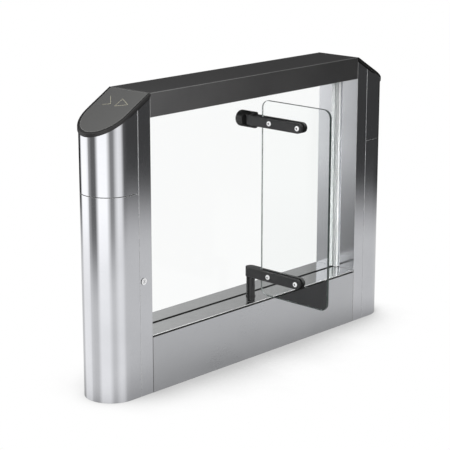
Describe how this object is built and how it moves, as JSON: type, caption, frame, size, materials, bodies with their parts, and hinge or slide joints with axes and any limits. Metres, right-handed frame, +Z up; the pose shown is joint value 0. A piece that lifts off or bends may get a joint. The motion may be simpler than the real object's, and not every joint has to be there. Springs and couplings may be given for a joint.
{
  "type": "swing turnstile",
  "caption": "Pedestrian swing turnstile: sheet metal cabinet with round-ended posts, dark top rail and low sill, and a clear glass wing on two black arms that swings both ways.",
  "frame": {"origin": "on the floor under the middle of the sill, on the cabinet's centre plane", "axes": "+X along the cabinet towards the far post, +Y across it away from the wing, +Z up"},
  "size_m": [1.43, 0.5124, 1],
  "materials": {
    "polished_sheet": "polished",
    "satin_sheet": "satin",
    "dark_rail": "dark anodised",
    "cap_black": "semi-gloss",
    "cap_grey": "gloss",
    "clear_glass": "clear toughened",
    "arm_black": "satin black",
    "leg_black": "satin black",
    "bright_steel": "bright",
    "plated_steel": "zinc plated",
    "machined_steel": "machined",
    "channel_aluminium": "mill finish",
    "bush_bronze": "turned",
    "black_rubber": "matt",
    "grey_seal": "light grey",
    "board_green": "solder mask",
    "standoff_brass": "turned",
    "motor_can": "painted",
    "supply_case": "pressed"
  },
  "bodies": {
    "cabinet": {"left_upright": "polished_sheet", "right_upright": "polished_sheet", "left_lower_cover": "polished_sheet", "right_lower_cover": "polished_sheet", "left_upper_cover": "polished_sheet", "right_upper_cover": "polished_sheet", "front_sill_top": "polished_sheet", "back_sill_top": "polished_sheet", "front_panel": "satin_sheet", "back_panel": "satin_sheet", "top_rail": "dark_rail", "left_cap_housing": "cap_black", "right_cap_housing": "cap_black", "left_cap_fascia": "cap_grey", "right_cap_fascia": "cap_grey", "fixed_pane": "clear_glass", "hinge_body": "arm_black", "hinge_seat": "arm_black", "pivot_collar": "leg_black", "hinge_pin": "bright_steel", "hinge_stud": "bright_steel", "lock_housing": "bright_steel", "left_base_plate": "plated_steel", "right_base_plate": "plated_steel", "left_frame_post": "plated_steel", "right_frame_post": "plated_steel", "sill_tray": "plated_steel", "panel_strips": "plated_steel", "sill_ribs": "plated_steel", "rail_brackets": "plated_steel", "rail_screws": "plated_steel", "lock_keeper": "plated_steel", "drive_housing": "plated_steel", "shaft_bearings": "machined_steel", "pane_channel": "channel_aluminium", "pane_bottom_gasket": "black_rubber", "pane_top_gasket": "black_rubber", "hinge_pad": "black_rubber", "pane_side_seals": "grey_seal", "indicator_boards": "board_green", "control_board": "board_green", "board_standoffs": "standoff_brass", "gearmotor": "motor_can", "power_supply": "supply_case"},
    "wing": {"leaf": "clear_glass", "upper_arm": "arm_black", "upper_arm_cheek": "arm_black", "lower_arm": "arm_black", "lower_arm_cheek": "arm_black", "arm_pads": "black_rubber", "arm_screws": "bright_steel", "arm_sleeve_nuts": "bright_steel", "wing_leg": "leg_black", "wing_shaft": "machined_steel", "wing_gear": "machined_steel", "gear_key": "machined_steel", "hinge_bush": "bush_bronze"},
    "pinion": {"motor_pinion": "machined_steel"},
    "lock": {"lock_plug": "bright_steel", "lock_cam": "plated_steel"}
  },
  "joints": [
    {"name": "wing_swing", "type": "hinge", "parent": "cabinet", "child": "wing", "pos_m": [-0.022, -0.0674, 0.5], "axis": [0, 0, 1], "range_deg": [-90, 90]},
    {"name": "pinion_spin", "type": "hinge", "parent": "cabinet", "child": "pinion", "pos_m": [-0.022, -0.0374, 0.056], "axis": [0, 0, 1], "range_deg": [-136, 136]},
    {"name": "lock_turn", "type": "hinge", "parent": "cabinet", "child": "lock", "pos_m": [-0.558, -0.082, 0.391], "axis": [0, -1, 0], "range_deg": [0, 90]}
  ],
  "couplings": [
    {"joint": "pinion_spin", "follows": "wing_swing", "ratio": -1.5}
  ]
}
